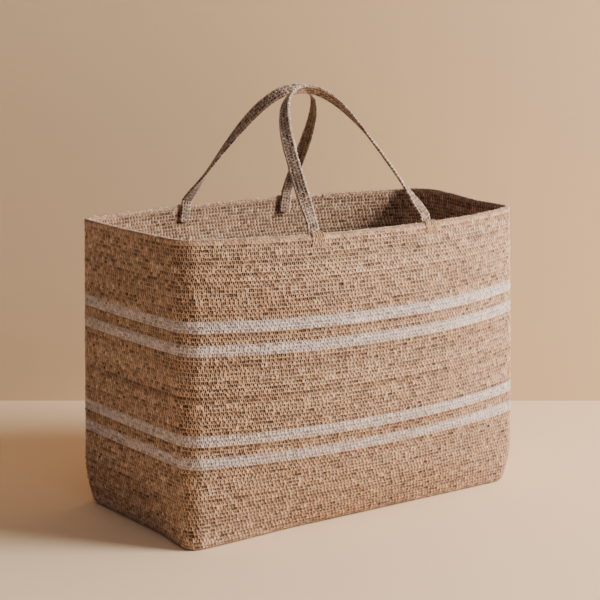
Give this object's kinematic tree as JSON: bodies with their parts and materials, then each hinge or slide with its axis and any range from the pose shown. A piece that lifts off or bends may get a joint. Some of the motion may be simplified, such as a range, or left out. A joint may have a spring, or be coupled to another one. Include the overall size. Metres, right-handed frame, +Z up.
{
  "type": "woven market basket",
  "caption": "Soft rectangular market basket crocheted in rounds from natural yarn, with pairs of pale stripes and flat carrying straps that lean together over the open mouth.",
  "frame": {"origin": "on the floor, under the middle of the basket", "axes": "+X along the long side to the right, +Y to the back across the short side, +Z up"},
  "size_m": [0.471, 0.311, 0.4766],
  "materials": {
    "natural_yarn": "matt crocheted raffia yarn, heathered tan",
    "pale_yarn": "matt crocheted raffia yarn, greyish off-white",
    "rim_yarn": "matt crocheted raffia yarn, light tan, one firm round",
    "strap_yarn": "matt crocheted raffia yarn, dense flat band",
    "lashing_yarn": "single yarn strands, light tan"
  },
  "bodies": {
    "basket": {"base_panel": "natural_yarn", "wall_lower": "natural_yarn", "stripe_1": "pale_yarn", "wall_between_lower_stripes": "natural_yarn", "stripe_2": "pale_yarn", "wall_middle": "natural_yarn", "stripe_3": "pale_yarn", "wall_between_upper_stripes": "natural_yarn", "stripe_4": "pale_yarn", "wall_upper": "natural_yarn", "rim_round": "rim_yarn", "front_left_strap_foot": "strap_yarn", "front_right_strap_foot": "strap_yarn", "back_left_strap_foot": "strap_yarn", "back_right_strap_foot": "strap_yarn", "front_left_lashing": "lashing_yarn", "front_right_lashing": "lashing_yarn", "back_left_lashing": "lashing_yarn", "back_right_lashing": "lashing_yarn"},
    "front_strap": {"front_handle": "strap_yarn"},
    "back_strap": {"back_handle": "strap_yarn"}
  },
  "joints": [
    {"name": "front_handle_swing", "type": "hinge", "parent": "basket", "child": "front_strap", "pos_m": [0, -0.13009, 0.33406], "axis": [1, 0, 0], "range_deg": [0, 140]},
    {"name": "back_handle_swing", "type": "hinge", "parent": "basket", "child": "back_strap", "pos_m": [0, 0.13056, 0.33404], "axis": [-1, 0, 0], "range_deg": [0, 140]}
  ]
}
